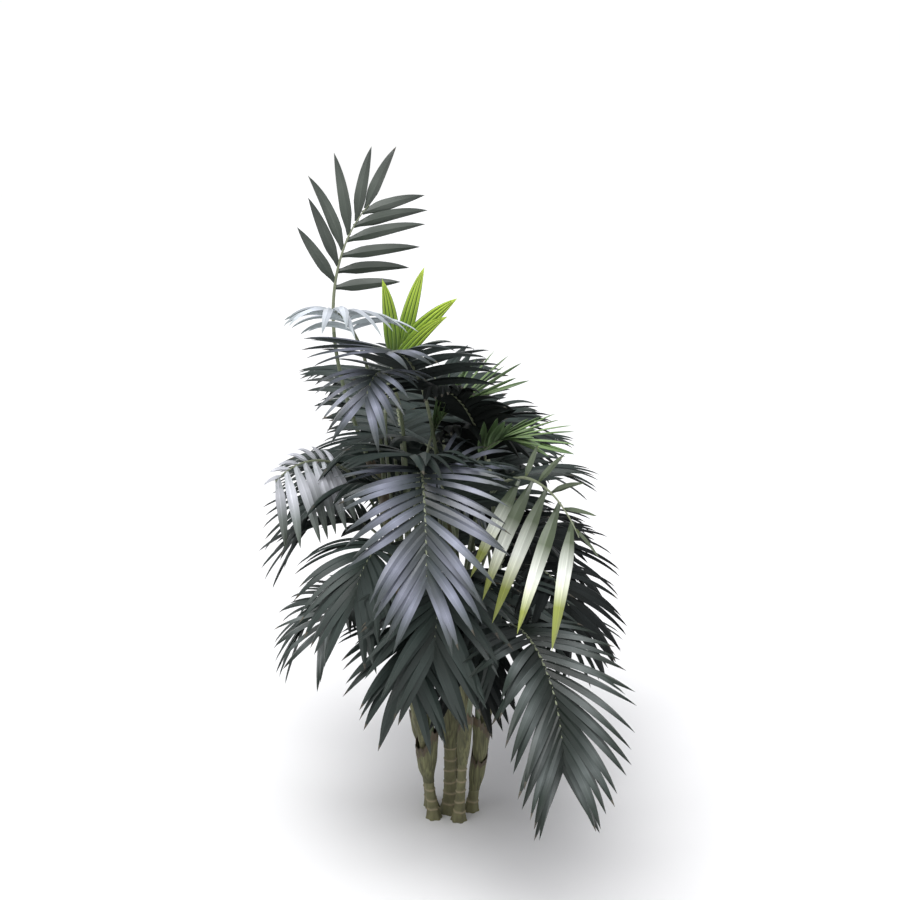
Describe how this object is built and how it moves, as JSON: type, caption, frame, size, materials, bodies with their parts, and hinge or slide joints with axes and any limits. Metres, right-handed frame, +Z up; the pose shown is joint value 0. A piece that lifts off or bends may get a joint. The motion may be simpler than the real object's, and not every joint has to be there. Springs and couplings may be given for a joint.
{
  "type": "cat palm",
  "caption": "Clumping palm with slender leaning canes from a shared root and arching feather-shaped fronds of narrow keeled leaflets, fixed in the ground at its foot.",
  "frame": {"origin": "centre of the flat cut under the main cane, at ground level", "axes": "+Z up along the main cane; the picture looks along +Y with +X to its right"},
  "size_m": [1.0129, 1.5592, 1.8014],
  "materials": {
    "cane": "ringed green-brown cane, dull",
    "frond_dark": "mature leaf, dark slate green with a silvery sheen",
    "frond_green": "younger leaf, mid green, satin",
    "frond_lime": "new pleated leaf, lime green, satin",
    "frond_pale": "leaf turned to the light, pale silvery green, satin"
  },
  "bodies": {
    "root": {"cane_front": "cane", "cane_left": "cane", "cane_main": "cane", "cane_rear_left": "cane", "cane_rear_right": "cane", "cane_right": "cane", "frond_front_1_blade": "frond_dark", "frond_front_1_stalk": "frond_dark", "frond_front_2_blade": "frond_dark", "frond_front_2_stalk": "frond_dark", "frond_front_3": "frond_dark", "frond_front_4": "frond_pale", "frond_front_5": "frond_green", "frond_left_10": "frond_dark", "frond_left_1_blade": "frond_dark", "frond_left_1_stalk": "frond_dark", "frond_left_2": "frond_dark", "frond_left_3": "frond_lime", "frond_left_4": "frond_dark", "frond_left_5_blade": "frond_dark", "frond_left_5_stalk": "frond_dark", "frond_left_6_blade": "frond_dark", "frond_left_6_stalk": "frond_dark", "frond_left_7": "frond_dark", "frond_left_8_blade": "frond_dark", "frond_left_8_stalk": "frond_dark", "frond_left_9": "frond_dark", "frond_main_1": "frond_green", "frond_main_2": "frond_dark", "frond_main_3": "frond_dark", "frond_main_4": "frond_dark", "frond_main_5": "frond_dark", "frond_main_6_blade": "frond_dark", "frond_main_6_stalk": "frond_dark", "frond_rear_left_1": "frond_pale", "frond_rear_left_2": "frond_dark", "frond_rear_left_3": "frond_pale", "frond_rear_left_4": "frond_dark", "frond_rear_left_5": "frond_dark", "frond_rear_left_6": "frond_dark", "frond_rear_left_7": "frond_dark", "frond_rear_right_1": "frond_dark", "frond_rear_right_2": "frond_dark", "frond_rear_right_3": "frond_dark", "frond_rear_right_4_blade": "frond_dark", "frond_rear_right_4_stalk": "frond_dark", "frond_rear_right_5": "frond_dark", "frond_rear_right_6": "frond_dark", "frond_right_1": "frond_dark", "frond_right_2_blade": "frond_dark", "frond_right_2_stalk": "frond_dark", "frond_right_3": "frond_dark", "frond_right_4_blade": "frond_dark", "frond_right_4_stalk": "frond_dark", "frond_right_5": "frond_dark", "frond_right_6_blade": "frond_dark", "frond_right_6_stalk": "frond_dark", "frond_right_7": "frond_dark", "frond_right_8_blade": "frond_dark", "frond_right_8_stalk": "frond_dark"}
  },
  "joints": []
}
